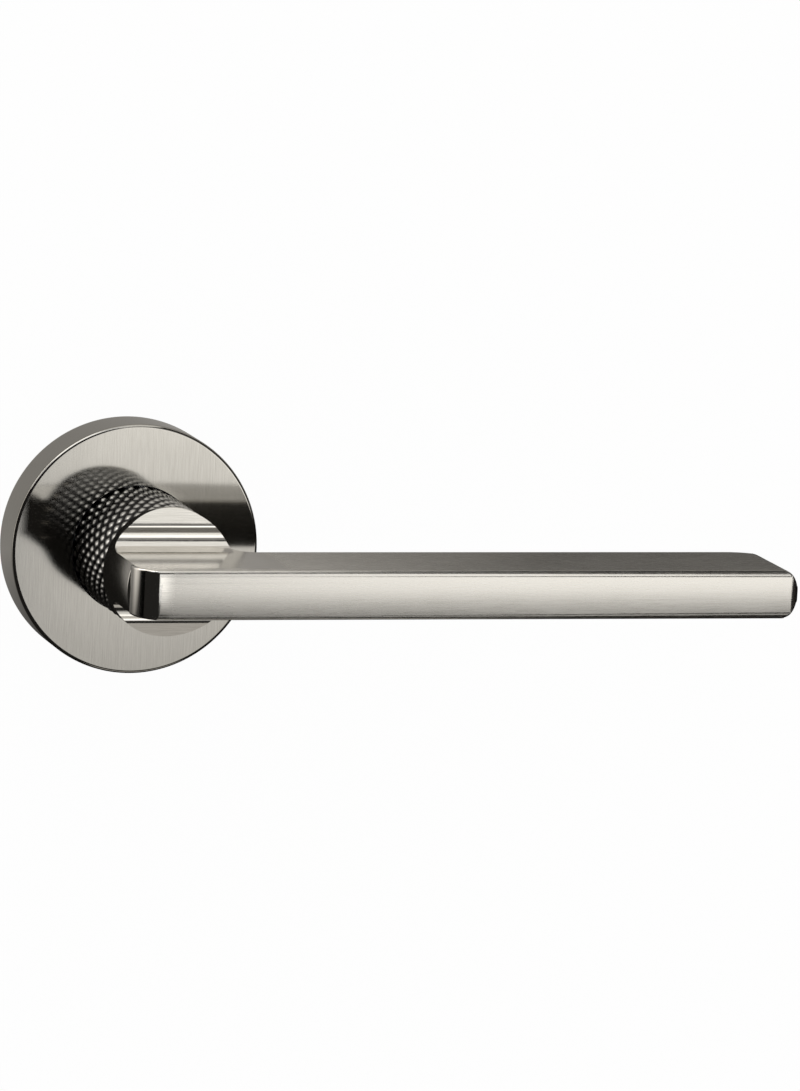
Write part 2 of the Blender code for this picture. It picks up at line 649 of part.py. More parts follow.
def make_wood_screws():
    """Pointed screws that hold the plate to the door's face."""
    head_back = PLATE_THICK + GAP
    head_front = head_back + WOOD_SCREW_HEAD_THICK
    for side, centre in wood_screw_centres().items():
        profile = [
            (0.0, head_back - WOOD_SCREW_LENGTH),
            (WOOD_SCREW_RADIUS, head_back - WOOD_SCREW_LENGTH + WOOD_SCREW_POINT),
            (WOOD_SCREW_RADIUS, head_back),
            (WOOD_SCREW_HEAD_RADIUS, head_back),
            (WOOD_SCREW_HEAD_RADIUS * 0.7, head_front),
            (0.0, head_front),
        ]
        screw = turned(f"wood_screw_{side}", profile, STEEL, None, COARSE, centre, False)
        cross_recess(screw, head_front, centre, WOOD_SCREW_HEAD_RADIUS * 0.55)


# ---------------------------------------------------------------- the cover

def make_cover(axis):
    """Thin round cap with a bevelled rim and a hole that clears the neck."""
    inside = COVER_RADIUS - COVER_WALL
    profile = [
        (COVER_RADIUS, 0.0),
        (COVER_RADIUS, COVER_DEPTH - COVER_BEVEL),
        (COVER_RADIUS - COVER_BEVEL, COVER_DEPTH),
        (NECK_RADIUS + COVER_GAP, COVER_DEPTH),
        (NECK_RADIUS + COVER_GAP, COVER_DEPTH - COVER_WALL),
        (inside, COVER_DEPTH - COVER_WALL),
        (inside, 0.0),
    ]
    turned("rose_cover", profile, NICKEL, axis, FINE)


def main():
    clear_scene()
    lever_axis = empty("lever_axis")
    make_lever(lever_axis)
    make_sleeve(lever_axis)
    make_grub_screw(lever_axis)
    make_spindle(lever_axis)
    make_circlip(lever_axis)
    make_thrust_washer(lever_axis)
    make_driver(lever_axis)
    make_base_plate()
    make_bush()
    make_stop_pins()
    make_spring()
    make_spring_cap()
    make_rivets()
    make_clips()
    make_bolts()
    make_wood_screws()
    make_cover(empty("cover_axis"))


main()
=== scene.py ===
# %% [markdown]
# # A door lever on a round rose
# This lesson finishes the looks of a door lever that was made first as exact solids. The solids stay as
# they are. The pieces whose edges and relief meet the eye, which are the rose's cover, the lever, its
# knurled sleeve and the threaded fasteners, are modelled again, and every other piece gets its finish.

import json
import math

import bmesh
import bpy
from mathutils import Matrix, Vector


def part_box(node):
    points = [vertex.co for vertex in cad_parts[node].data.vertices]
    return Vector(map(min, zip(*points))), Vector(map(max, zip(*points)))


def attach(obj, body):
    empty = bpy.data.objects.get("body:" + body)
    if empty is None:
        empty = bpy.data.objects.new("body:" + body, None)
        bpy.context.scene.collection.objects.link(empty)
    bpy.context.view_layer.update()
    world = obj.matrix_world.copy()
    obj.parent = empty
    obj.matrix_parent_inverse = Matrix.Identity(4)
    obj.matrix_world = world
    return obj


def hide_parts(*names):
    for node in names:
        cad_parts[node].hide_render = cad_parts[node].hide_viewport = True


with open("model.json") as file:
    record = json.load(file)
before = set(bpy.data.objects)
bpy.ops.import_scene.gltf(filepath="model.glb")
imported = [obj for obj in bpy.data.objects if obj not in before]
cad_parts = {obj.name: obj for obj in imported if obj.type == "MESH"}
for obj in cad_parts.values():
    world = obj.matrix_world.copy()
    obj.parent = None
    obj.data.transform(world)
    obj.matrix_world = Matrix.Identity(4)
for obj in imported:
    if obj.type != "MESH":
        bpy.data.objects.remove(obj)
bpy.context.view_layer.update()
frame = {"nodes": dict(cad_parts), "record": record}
nodes = frame["nodes"]
MM = 0.001

# %% [markdown]
# The frame's axes are the handle's own: X runs along the lever, Y into the door and Z up, with the
# spindle's axis as Y. A place is therefore easiest to give as an X, a Z and a depth in front of the door.
# The sizes that the new pieces share with the solids are read from the solids' boxes, so that they can't
# drift apart.

# %% Sizes read from the solids
lever_low, lever_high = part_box("lever_handle")
sleeve_low, sleeve_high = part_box("knurled_sleeve")
cover_low, cover_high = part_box("rose_cover")
screw_low, screw_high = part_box("grub_screw")
NECK_RADIUS = lever_high.z
BAR_TIP = lever_high.x
BAR_FRONT = -lever_low.y
SLEEVE_FRONT = -sleeve_low.y
SLEEVE_BACK = -sleeve_high.y
COVER_RADIUS = cover_high.x
COVER_DEPTH = -cover_low.y
GRUB_DEPTH = -(screw_low.y + screw_high.y) / 2
print("neck radius", round(NECK_RADIUS / MM, 2), "bar tip", round(BAR_TIP / MM, 2))


def place(x, depth, z):
    """A point from its X, its depth in front of the door and its Z."""
    return Vector((x, -depth, z))


# %% [markdown]
# Four small helpers do what a hand does in the viewport: select one object, enter edit mode with nothing
# selected, select by place, and apply a modifier. Operators act on everything that is selected, which is
# why each helper starts by clearing the selection.


# %% Helpers for working as by hand
DOUBLES = 0.002 * MM  # points closer than this are one point
NEAR = 0.01 * MM  # how exactly a place is picked


def only(thing):
    """Leaves one object selected and active."""
    bpy.ops.object.select_all(action="DESELECT")
    thing.select_set(True)
    bpy.context.view_layer.objects.active = thing


def edit(thing, kind="FACE", everything=False):
    """Enters edit mode on one object, with nothing or everything selected."""
    only(thing)
    bpy.ops.object.mode_set(mode="EDIT")
    bpy.ops.mesh.select_mode(type=kind)
    bpy.ops.mesh.select_all(action="SELECT" if everything else "DESELECT")


def leave():
    bpy.ops.object.mode_set(mode="OBJECT")


def pick(thing, kind, test):
    """Selects the faces or edges that pass a test, in edit mode, and returns how many there are."""
    mesh = bmesh.from_edit_mesh(thing.data)
    mesh.faces.ensure_lookup_table()
    found = [item for item in getattr(mesh, kind) if test(item)]
    for item in found:
        item.select_set(True)
    mesh.select_flush_mode()
    bmesh.update_edit_mesh(thing.data)
    return len(found)


def apply(thing, kind, **settings):
    """Adds a modifier and applies it."""
    only(thing)
    modifier = thing.modifiers.new(kind.lower(), kind)
    for name, value in settings.items():
        setattr(modifier, name, value)
    bpy.ops.object.modifier_apply(modifier=modifier.name)


def outwards(thing):
    """Merges doubles and turns all faces outwards."""
    edit(thing, "VERT", everything=True)
    bpy.ops.mesh.remove_doubles(threshold=DOUBLES)
    bpy.ops.mesh.normals_make_consistent(inside=False)
    leave()


# %% [markdown]
# Most of a handle is either turned on a lathe or cut from bar. A turned shape starts as a loop of points in
# a half plane, which the spin operator takes round the axis. A cut shape starts as a flat outline, which
# the extrude operator gives its thickness. Both start from a circle whose points are moved to their places.
# The last helper shades a finished piece: smooth over its curves, crisp at its corners.


# %% Turned and extruded blanks
def loop(name, points, fill):
    """A closed loop of points, with or without a face in it."""
    bpy.ops.object.select_all(action="DESELECT")
    bpy.ops.mesh.primitive_circle_add(
        vertices=len(points), radius=1 * MM, fill_type="NGON" if fill else "NOTHING"
    )
    thing = bpy.context.object
    thing.name = name
    thing.data.name = name
    for vert, point in zip(thing.data.vertices, points):
        vert.co = point
    return thing


def turned(name, profile, steps=128):
    """Spins a profile of (radius, depth) points round the Y axis."""
    thing = loop(name, [place(radius, depth, 0.0) for radius, depth in profile], fill=False)
    edit(thing, "VERT", everything=True)
    bpy.ops.mesh.spin(steps=steps, angle=2 * math.pi, center=(0, 0, 0), axis=(0, 1, 0))
    bpy.ops.mesh.select_all(action="SELECT")
    bpy.ops.mesh.remove_doubles(threshold=DOUBLES)
    bpy.ops.mesh.dissolve_degenerate(threshold=DOUBLES / 2)
    leave()
    outwards(thing)
    return thing


def extruded(name, points, push):
    """A flat outline with a thickness."""
    thing = loop(name, points, fill=True)
    edit(thing, "FACE", everything=True)
    bpy.ops.mesh.extrude_region_move(TRANSFORM_OT_translate={"value": push})
    leave()
    outwards(thing)
    return thing


def arc(centre, radius, start, end, steps):
    """Points of an arc in a flat outline, angles in degrees."""
    angles = [math.radians(start + (end - start) * i / steps) for i in range(steps + 1)]
    return [(centre[0] + radius * math.cos(t), centre[1] + radius * math.sin(t)) for t in angles]


def boolean(target, tool, operation):
    """Cuts, joins or intersects, and removes the tool."""
    apply(target, "BOOLEAN", operation=operation, solver="EXACT", object=tool)
    bpy.data.objects.remove(tool, do_unlink=True)


def finish_surface(thing, angle=35, flat=None):
    """Smooth shading up to an angle; faces that pass the test flat keep a crisp border and stay flat."""
    only(thing)
    bpy.ops.object.shade_smooth_by_angle(angle=math.radians(angle))
    if flat:
        edit(thing)
        pick(thing, "faces", flat)
        bpy.ops.mesh.region_to_loop()
        bpy.ops.mesh.mark_sharp()
        leave()
    apply(thing, "WEIGHTED_NORMAL", keep_sharp=True, weight=60)
    faces = len(thing.data.polygons)
    size = [round(v / MM, 1) for v in thing.dimensions]
    print(thing.name, faces, "faces", size, "mm")


# %% [markdown]
# ## The rose's cover
# The cover is a shallow pressed cap with a bevelled rim and a hole for the neck. A lathe profile would do,
# but a pressed part is closer to a cylinder whose front is inset for the hole and whose wall is then
# thickened inwards, and it keeps the bevel apart from the rest.

# %% The cover's blank
COVER_WALL = 1.2 * MM
COVER_HOLE = 13.3 * MM
COVER_STEPS = 192

bpy.ops.object.select_all(action="DESELECT")
bpy.ops.mesh.primitive_cylinder_add(
    vertices=COVER_STEPS,
    radius=COVER_RADIUS,
    depth=COVER_DEPTH,
    location=place(0, COVER_DEPTH / 2, 0),
    rotation=(math.radians(90), 0, 0),
)
cover = bpy.context.object
cover.name = "rose_cap"
bpy.ops.object.transform_apply(location=True, rotation=True, scale=True)
edit(cover)
pick(cover, "faces", lambda f: f.normal.y > 0.9)
bpy.ops.mesh.delete(type="FACE")
pick(cover, "faces", lambda f: f.normal.y < -0.9)
bpy.ops.mesh.inset(thickness=COVER_RADIUS - COVER_HOLE, depth=0)
bpy.ops.mesh.delete(type="FACE")
leave()
apply(cover, "SOLIDIFY", thickness=COVER_WALL, offset=-1, use_even_offset=True)
print("cover's blank:", len(cover.data.polygons), "faces")

# %% [markdown]
# Pressing and polishing leave the rim with a round that catches a thin line of light, and the lip of the
# hole almost sharp. A bevel of the picked edges gives each its own width.

# %% The cover's rim and lip
COVER_RIM = 0.7 * MM
COVER_LIP = 0.1 * MM


def on_front_circle(radius):
    """A test for the edges of the cover's front that lie on a circle."""
    return lambda edge: all(
        abs(vert.co.xz.length - radius) < NEAR and vert.co.y < -COVER_DEPTH + NEAR for vert in edge.verts
    )


edit(cover, "EDGE")
rim = pick(cover, "edges", on_front_circle(COVER_RADIUS))
bpy.ops.mesh.bevel(offset=COVER_RIM, segments=5, profile=0.5, clamp_overlap=False)
bpy.ops.mesh.select_all(action="DESELECT")
lip = pick(cover, "edges", on_front_circle(COVER_HOLE))
bpy.ops.mesh.bevel(offset=COVER_LIP, segments=2, profile=0.5, clamp_overlap=False)
leave()
finish_surface(cover)
print("rim edges", rim, "lip edges", lip)
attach(cover, "cover")
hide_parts("rose_cover")

# %% [markdown]
# ## The lever
# The lever is one casting. Its neck is round, and its head is scooped above and below so that only a flat
# bar goes on. The bar could be a box with bevelled edges, but its heel and tip turn in quarter ellipses and
# its face is slightly crowned. So it is made as the overlap of three outlines, which are seen from above,
# from in front and from the tip, and it joins the neck when its edges are done.

# %% Sizes of the bar
BAR_BACK = 42.6 * MM
HALF_HEIGHT = 5.0 * MM
HEAD_FRONT = 57.0 * MM
HEEL = NECK_RADIUS - 0.4 * MM  # the heel's reach to the left of the axis
HEEL_WIDE, HEEL_DEEP = 5.5 * MM, 7.4 * MM  # its quarter ellipse, from above
FADE_WIDE, FADE_DEEP = 3.4 * MM, 1.4 * MM  # the quarter ellipse from face to tip, from above
TIP_WIDE = 3.7 * MM  # the tip's half ellipse, from in front
TIP_BACK_ROUND = 8.5 * MM
WEB_ROUND = 4.0 * MM
EDGE_ROUND = 0.45 * MM
CROWN = 0.34 * MM
FACE_ROUND_HIGH, FACE_ROUND_DEEP = 0.7 * MM, 0.5 * MM  # the face's long edges
SUNK, SUNK_LEAN = 0.6 * MM, 1.5 * MM  # how the bar sinks into the head that it joins
CLEAR = 0.02 * MM  # keeps the end's outline off the bar's flats
print("bar:", round((BAR_TIP + HEEL) / MM, 1), "mm long")

# %% [markdown]
# From above, the outline goes round the heel, along the face, round the tip and back to the web that
# carries the bar on the neck. A quarter ellipse is a quarter circle of radius 1 with its own width and
# depth. It is pushed up to more than the bar's height, because the third outline trims it.

# %% The bar from above
BLANK_HALF = 9.0 * MM
from_above = [(-HEEL + SUNK_LEAN, HEAD_FRONT - SUNK), (-HEEL, HEAD_FRONT)]
for x, d in arc((0.0, 0.0), 1.0, 180, 90, 20):
    from_above.append((-HEEL + HEEL_WIDE * (1 + x), BAR_FRONT - HEEL_DEEP * (1 - d)))
for x, d in arc((0.0, 0.0), 1.0, 90, 0, 14):
    from_above.append((BAR_TIP - FADE_WIDE * (1 - x), BAR_FRONT - FADE_DEEP * (1 - d)))
from_above += arc((BAR_TIP - TIP_BACK_ROUND, BAR_BACK + TIP_BACK_ROUND), TIP_BACK_ROUND, 0, -90, 12)
from_above += arc((NECK_RADIUS + WEB_ROUND, BAR_BACK - WEB_ROUND), WEB_ROUND, 90, 180, 10)
from_above += [(0.0, BAR_BACK - WEB_ROUND), (0.0, HEAD_FRONT - SUNK)]
bar = extruded("lever_casting", [place(x, d, -BLANK_HALF) for x, d in from_above], (0, 0, 2 * BLANK_HALF))
print("outline from above:", len(from_above), "points")

# %% [markdown]
# From in front, the tip ends in half an ellipse. One shape that spans the whole bar cuts both corners at
# once.

# %% The tip's end
PAST_HEEL, PAST_FRONT, PAST_BACK = -30 * MM, 90 * MM, 20 * MM
THROUGH = 70 * MM

from_front = [(PAST_HEEL, HALF_HEIGHT + CLEAR)]
for x, z in arc((0.0, 0.0), 1.0, 90, 0, 16):
    from_front.append((BAR_TIP - TIP_WIDE * (1 - x), (HALF_HEIGHT + CLEAR) * z))
from_front += [(x, -z) for x, z in reversed(from_front[:-1])]
front_shape = extruded("front_shape", [place(x, PAST_FRONT, z) for x, z in from_front], (0, THROUGH, 0))
boolean(bar, front_shape, "INTERSECT")
print("outline from in front:", len(from_front), "points")

# %% [markdown]
# From the tip, the face is a very shallow arch that rolls over into the flats. The arch is what makes a
# highlight fade across the face: on a flat one it would be all there or not there at all.

# %% The crown of the face
flat_half = HALF_HEIGHT - FACE_ROUND_HIGH
rounded = [flat_half + FACE_ROUND_HIGH * math.sin(math.radians(t)) for t in range(10, 91, 10)]
heights = [flat_half * i / 6 for i in range(-6, 7)]
from_tip = [(PAST_BACK, -HALF_HEIGHT)]
for z in [-z for z in reversed(rounded)] + heights + rounded:
    past = max(0.0, abs(z) - flat_half) / FACE_ROUND_HIGH
    drop = FACE_ROUND_DEEP * (1 - math.sqrt(max(0.0, 1 - past**2)))
    from_tip.append((BAR_FRONT - CROWN * (z / HALF_HEIGHT) ** 2 - drop, z))
from_tip.append((PAST_BACK, HALF_HEIGHT))
crown_shape = extruded("crown_shape", [place(-40 * MM, d, z) for d, z in from_tip], (200 * MM, 0, 0))
boolean(bar, crown_shape, "INTERSECT")
outwards(bar)
print("bar blank:", len(bar.data.polygons), "faces")

# %% [markdown]
# Polishing takes the sharpness off every edge that is left. The bevel comes before the bar joins the neck,
# while each edge is still long and simple and the bevel has room on both sides.

# %% Round the bar's edges
apply(
    bar,
    "BEVEL",
    width=EDGE_ROUND,
    segments=4,
    limit_method="ANGLE",
    angle_limit=math.radians(40),
    use_clamp_overlap=False,
)
outwards(bar)
print("bar with rounded edges:", len(bar.data.polygons), "faces")

# %% [markdown]
# The neck is turned: the journal that turns in the plate, with the groove for its ring, a plain core under
# the sleeve, and the round head. All of it is one profile that the spin takes round.

# %% The neck
JOURNAL_RADIUS = 9.0 * MM
CORE_RADIUS = 10.9 * MM
SLEEVE_GAP = 0.3 * MM
CORE_BACK = SLEEVE_BACK - SLEEVE_GAP
HEAD_BACK = SLEEVE_FRONT + SLEEVE_GAP
TAIL = lever_high.y
GROOVE_HALF, GROOVE_DEPTH = 0.9 * MM, 1.0 * MM

neck_profile = [
    (0.0, -TAIL),
    (JOURNAL_RADIUS, -TAIL),
    (JOURNAL_RADIUS, -GROOVE_HALF),
    (JOURNAL_RADIUS - GROOVE_DEPTH, -GROOVE_HALF),
    (JOURNAL_RADIUS - GROOVE_DEPTH, GROOVE_HALF),
    (JOURNAL_RADIUS, GROOVE_HALF),
    (JOURNAL_RADIUS, CORE_BACK),
    (CORE_RADIUS, CORE_BACK),
    (CORE_RADIUS, HEAD_BACK),
    (NECK_RADIUS, HEAD_BACK),
]
neck_profile += arc((NECK_RADIUS - EDGE_ROUND, HEAD_FRONT - EDGE_ROUND), EDGE_ROUND, 0, 90, 4)
neck_profile.append((0.0, HEAD_FRONT))
neck = turned("neck", neck_profile)
print("neck:", len(neck.data.polygons), "faces")

# %% [markdown]
# The scoop is a smooth line through a few points, given in millimetres as depth and height, and pushed
# sideways through the head. It rolls over at the rim, dips under, and runs out into the bar's flat. A plain
# slope would mirror one thing only; this line bends the room's light into bands on the polished head.

# %% Scoop the head above and below
SCOOP = [
    (36.6, 15.0), (37.15, 14.0), (37.7, 13.2), (38.8, 11.4), (39.65, 9.8), (39.5, 8.3), (39.7, 6.9),
    (40.7, 5.7), (43.2, 5.0),
]
SCOOP_OUT, SCOOP_UP, SCOOP_SIDE = 80 * MM, 25 * MM, 30 * MM  # well past the head


def smooth_line(points, steps):
    """A smooth line through points, as Catmull and Rom drew it."""

    def between(p, q, r, s, t):
        bend = (2 * p - 5 * q + 4 * r - s) * t**2
        return 0.5 * (2 * q + (r - p) * t + bend + (3 * q - p - 3 * r + s) * t**3)

    ends = [points[0]] + points + [points[-1]]
    line = []
    for four in zip(ends, ends[1:], ends[2:], ends[3:]):
        for i in range(steps):
            line.append(tuple(between(*values, i / steps) for values in zip(*four)))
    return line + [points[-1]]


scoop_line = [(d * MM, z * MM) for d, z in smooth_line(SCOOP, 12)]
scoop_line += [(SCOOP_OUT, HALF_HEIGHT), (SCOOP_OUT, SCOOP_UP), (scoop_line[0][0], SCOOP_UP)]
for side in (1, -1):
    points = [place(-SCOOP_SIDE, d, side * z) for d, z in scoop_line]
    boolean(neck, extruded("scoop", points, (2 * SCOOP_SIDE, 0, 0)), "DIFFERENCE")
print("scooped neck:", len(neck.data.polygons), "faces")

# %% [markdown]
# Bar and neck become one casting. From behind it has a square socket for the spindle, and from below a hole
# for the grub screw that holds it there. A hole is a simple shape cut out by a Boolean.

# %% Join the bar and the neck
SOCKET_HALF = 4.3 * MM
SOCKET_FRONT, SOCKET_BACK = 35.0 * MM, -6.0 * MM
KEY_RADIUS = 3.3 * MM
GRUB_HOLE_LOW = -20 * MM  # below the neck


def drill_from_below(thing, radius, low, high):
    """Drills upwards at the grub screw's depth, between two heights."""
    bpy.ops.object.select_all(action="DESELECT")
    bpy.ops.mesh.primitive_cylinder_add(
        vertices=32, radius=radius, depth=high - low, location=place(0, GRUB_DEPTH, (low + high) / 2)
    )
    drill = bpy.context.object
    bpy.ops.object.transform_apply(location=True, rotation=True, scale=True)
    boolean(thing, drill, "DIFFERENCE")


lever = bar
boolean(lever, neck, "UNION")
bpy.ops.object.select_all(action="DESELECT")
bpy.ops.mesh.primitive_cube_add(
    size=1,
    location=place(0, (SOCKET_FRONT + SOCKET_BACK) / 2, 0),
    scale=(2 * SOCKET_HALF, SOCKET_FRONT - SOCKET_BACK, 2 * SOCKET_HALF),
)
broach = bpy.context.object
bpy.ops.object.transform_apply(location=True, rotation=True, scale=True)
boolean(lever, broach, "DIFFERENCE")
drill_from_below(lever, KEY_RADIUS, GRUB_HOLE_LOW, 0.0)
outwards(lever)
finish_surface(lever, 30, flat=lambda f: abs(f.normal.z) > 0.9999 and f.calc_area() > 30 * MM * MM)
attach(lever, "lever")
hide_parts("lever_handle")

# %% [markdown]
# ## The knurled sleeve
# Knurling rolls crossed grooves into a turned sleeve and leaves rows of diamonds with domed tops. Bump
# alone would leave the outline smooth, and the grooves would catch no shade. So one diamond is modelled
# from a grid and copied by array modifiers. Its height is the mean of two waves, one round the sleeve and
# one along it. That is 1 in the middle and 0 on all four sides, so neighbours meet in a clean V.

# %% One diamond
DIAMONDS = 25
DIAMOND_LONG = 4.3 * MM
GROOVE_DEEP = 0.7 * MM
HALF_ANGLE = math.pi / DIAMONDS
GROOVE_RADIUS = NECK_RADIUS - GROOVE_DEEP


def on_sleeve(radius, angle, along):
    """A point on the sleeve near its top, by its angle from the top and its way along the axis."""
    return (radius * math.sin(angle), along, radius * math.cos(angle))


bpy.ops.object.select_all(action="DESELECT")
bpy.ops.mesh.primitive_grid_add(x_subdivisions=8, y_subdivisions=8, size=2)
sleeve = bpy.context.object
sleeve.name = "diamond_sleeve"
for vert in sleeve.data.vertices:
    one_groove, other_groove = vert.co.x, vert.co.y
    turn, along = (one_groove + other_groove) / 2, (other_groove - one_groove) / 2
    height = (math.cos(math.pi * turn) + math.cos(math.pi * along)) / 2
    vert.co = on_sleeve(GROOVE_RADIUS + GROOVE_DEEP * height, turn * HALF_ANGLE, along * DIAMOND_LONG / 2)
print("one diamond:", len(sleeve.data.vertices), "points")

# %% [markdown]
# Three arrays copy the diamond: round the sleeve, then once more half a diamond round and half a diamond
# on, and then along the axis. Two empties hold the turns, since an array can copy from object to object.

# %% Copy it round and along
bpy.ops.object.select_all(action="DESELECT")
bpy.ops.object.empty_add(rotation=(0, 2 * HALF_ANGLE, 0))
turn_round = bpy.context.object
bpy.ops.object.select_all(action="DESELECT")
bpy.ops.object.empty_add(rotation=(0, HALF_ANGLE, 0), location=(0, -DIAMOND_LONG / 2, 0))
half_step = bpy.context.object
ROWS_BEHIND = 0.6 * MM  # the first row starts behind the sleeve
rows = math.ceil((SLEEVE_FRONT - SLEEVE_BACK) / DIAMOND_LONG) + 1
for marker, count in ((turn_round, DIAMONDS), (half_step, 2)):
    apply(
        sleeve, "ARRAY", count=count, use_relative_offset=False, use_object_offset=True, offset_object=marker
    )
apply(
    sleeve, "ARRAY", count=rows, use_relative_offset=False, use_constant_offset=True,
    constant_offset_displace=(0, -DIAMOND_LONG, 0),
)
for marker in (turn_round, half_step):
    bpy.data.objects.remove(marker, do_unlink=True)
edit(sleeve, "VERT", everything=True)
bpy.ops.transform.translate(value=(0, -SLEEVE_BACK + ROWS_BEHIND, 0))
bpy.ops.mesh.remove_doubles(threshold=NEAR)
leave()
print("diamonds:", DIAMONDS * 2 * rows, "faces:", len(sleeve.data.polygons))

# %% [markdown]
# The sleeve's ends are faced off square, so the rows are cut straight through there. The open edges then
# get a wall: each is pulled in to the bore, and the two bores are bridged. A key reaches the grub screw
# through a hole.

# %% Trim the ends and give the sleeve its wall
SLEEVE_BORE = 11.2 * MM
KEY_LOW, KEY_HIGH = -17 * MM, -8 * MM

for depth, front in ((SLEEVE_FRONT, True), (SLEEVE_BACK, False)):
    edit(sleeve, "VERT", everything=True)
    bpy.ops.mesh.bisect(
        plane_co=place(0, depth, 0), plane_no=(0, -1, 0), clear_outer=front, clear_inner=not front
    )
    leave()
edit(sleeve, "EDGE")
bpy.ops.mesh.select_non_manifold(
    extend=False, use_wire=False, use_multi_face=False, use_non_contiguous=False, use_verts=False
)
shrink = SLEEVE_BORE / GROOVE_RADIUS
bpy.ops.mesh.extrude_edges_move()
bpy.ops.transform.resize(value=(shrink, 1, shrink), center_override=(0, 0, 0))
bpy.ops.mesh.bridge_edge_loops()
leave()
outwards(sleeve)
drill_from_below(sleeve, KEY_RADIUS, KEY_LOW, KEY_HIGH)
finish_surface(sleeve, 35)
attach(sleeve, "lever")
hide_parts("knurled_sleeve")

# %% [markdown]
# ## Bolts and screws
# Four fasteners pass through the plate: two machine bolts to the handle on the door's other side and two
# pointed screws into the door. Their threads are rolled, and stand out where the back is seen, so each is
# turned with its thread as rings at the thread's pitch, and its head is cut with a crossed recess. One of
# each kind is modelled on the axis and copied to its two places.


# %% One bolt and one wood screw
RECESS_WIDE, RECESS_DEEP = 1.0 * MM, 1.2 * MM
FIRST_THREAD = 1.2 * MM  # how far in front of its point a screw's thread starts
BOLT = {
    "shank": 2.0 * MM, "root": 1.5 * MM, "pitch": 0.7 * MM, "point": 0.0, "plain": 9.0 * MM,
    "head": 3.6 * MM, "head_thick": 2.2 * MM,
}
SCREW = {
    "shank": 1.7 * MM, "root": 1.15 * MM, "pitch": 1.4 * MM, "point": 4.0 * MM, "plain": 4.0 * MM,
    "head": 3.2 * MM, "head_thick": 1.6 * MM,
}


def fastener(name, like, shank, root, pitch, point, plain, head, head_thick):
    """A screw with its head forward, on the axis, as long as the solid it is like."""
    low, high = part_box(like)
    back, front = -high[1], -low[1]
    under = front - head_thick
    profile = [(0.0, back), (0.1 * MM if point else root, back + NEAR)]
    depth = back + (FIRST_THREAD if point else pitch / 2)
    while depth < under - plain - pitch:
        taper = min(1.0, (depth - back) / point) if point else 1.0
        profile += [(taper * root, depth), (taper * shank, depth + pitch / 2)]
        depth += pitch
    profile += [(shank, under - plain), (shank, under), (head, under), (head, front - head_thick * 0.4)]
    profile += [(head * 0.93, front - head_thick * 0.15), (head * 0.75, front), (0.0, front)]
    thing = turned(name, profile, steps=40)
    recess_long = 0.55 * 2 * head
    for wide, tall in ((RECESS_WIDE, recess_long), (recess_long, RECESS_WIDE)):
        bpy.ops.object.select_all(action="DESELECT")
        bpy.ops.mesh.primitive_cube_add(
            size=1, location=place(0, front, 0), scale=(wide, 2 * RECESS_DEEP, tall)
        )
        bit = bpy.context.object
        bpy.ops.object.transform_apply(location=True, rotation=True, scale=True)
        boolean(thing, bit, "DIFFERENCE")
    outwards(thing)
    return thing


bolt = fastener("bolt", "through_bolt_left", **BOLT)
screw = fastener("screw", "wood_screw_top", **SCREW)
print("patterns:", bolt.name, screw.name)

# %% [markdown]
# Each pattern is copied to the places of its solids, whose boxes give X and Z. A copy gets a mesh of its
# own, and its points move rather than the object, so that the object stays at the origin.


# %% Copy them to their places
def put(thing, node):
    """Copies a fastener, with a mesh of its own, to the place of a node."""
    only(thing)
    bpy.ops.object.duplicate(linked=False)
    copy = bpy.context.object
    copy.name = "threaded_" + node
    low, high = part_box(node)
    edit(copy, "VERT", everything=True)
    bpy.ops.transform.translate(value=((low[0] + high[0]) / 2, 0, (low[2] + high[2]) / 2))
    leave()
    finish_surface(copy, 40)
    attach(copy, "door_side")
    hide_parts(node)
    return copy


threaded = [put(bolt, "through_bolt_left"), put(bolt, "through_bolt_right")]
threaded += [put(screw, "wood_screw_top"), put(screw, "wood_screw_bottom")]
for pattern in (bolt, screw):
    bpy.data.objects.remove(pattern, do_unlink=True)
print("fasteners:", [thing.name for thing in threaded])

# %% [markdown]
# ## Finishes
# Satin nickel is brushed: fine scratches all run one way, so a highlight smears across them. Two things
# make it: an anisotropic shader, whose highlight is wide across the lines, and the lines themselves, a
# noise stretched a hundredfold along them, in the colour, the roughness and the relief. The same group of
# nodes serves every metal, with other numbers.


